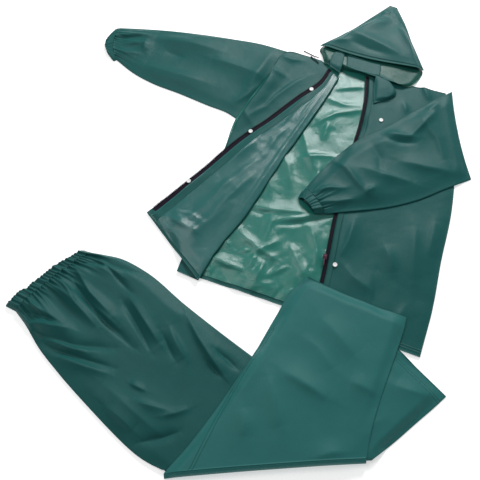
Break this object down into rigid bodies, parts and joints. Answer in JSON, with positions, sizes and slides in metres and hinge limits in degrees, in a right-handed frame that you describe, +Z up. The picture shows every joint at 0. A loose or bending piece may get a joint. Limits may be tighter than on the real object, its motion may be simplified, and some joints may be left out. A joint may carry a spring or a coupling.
{
  "type": "rain suit",
  "caption": "Hooded waterproof jacket laid out flat with its front opened, and matching trousers folded at the knee over its hem.",
  "frame": {"origin": "on the floor, under the middle of the laid-out suit", "axes": "+Z up out of the floor, +Y towards the hood, away from the viewer, +X to the viewer's right"},
  "size_m": [1.1074, 1.2728, 0.0337],
  "materials": {
    "matt_cloth": "matt woven nylon",
    "coated_cloth": "glossy waterproof coating",
    "zip_tape": "woven tape",
    "cord": "braided",
    "snap": "smooth",
    "slider": "enamelled"
  },
  "bodies": {
    "suit": {"back_collar": "matt_cloth", "back_hem": "matt_cloth", "hood_rim_hem": "matt_cloth", "hood_top_side": "matt_cloth", "left_collar": "matt_cloth", "left_cuff": "matt_cloth", "left_front": "matt_cloth", "left_leg_shin": "matt_cloth", "left_leg_thigh": "matt_cloth", "left_placket": "matt_cloth", "left_sleeve": "matt_cloth", "right_collar": "matt_cloth", "right_cuff": "matt_cloth", "right_front_edge_facing": "matt_cloth", "right_front_facing": "matt_cloth", "right_front_hem": "matt_cloth", "right_leg_hidden_layers": "matt_cloth", "right_leg_knee_fold": "matt_cloth", "right_leg_shin": "matt_cloth", "right_sleeve": "matt_cloth", "waistband": "matt_cloth", "back_panel": "coated_cloth", "right_front": "coated_cloth", "hood_under_side": "coated_cloth", "left_zip_tape": "zip_tape", "right_zip_tape": "zip_tape", "drawcord_end": "cord", "drawcord_second_end": "cord", "snap_1": "snap", "snap_2": "snap", "snap_3": "snap", "snap_4": "snap", "snap_5": "snap", "slider": "slider"},
    "pull_tab": {"pull_tab": "slider"}
  },
  "joints": [
    {"name": "pull_tab_hinge", "type": "hinge", "parent": "suit", "child": "pull_tab", "pos_m": [0.1776, -0.14758, 0.01868], "axis": [-0.9781, 0.2079, 0], "range_deg": [0, 150]}
  ]
}
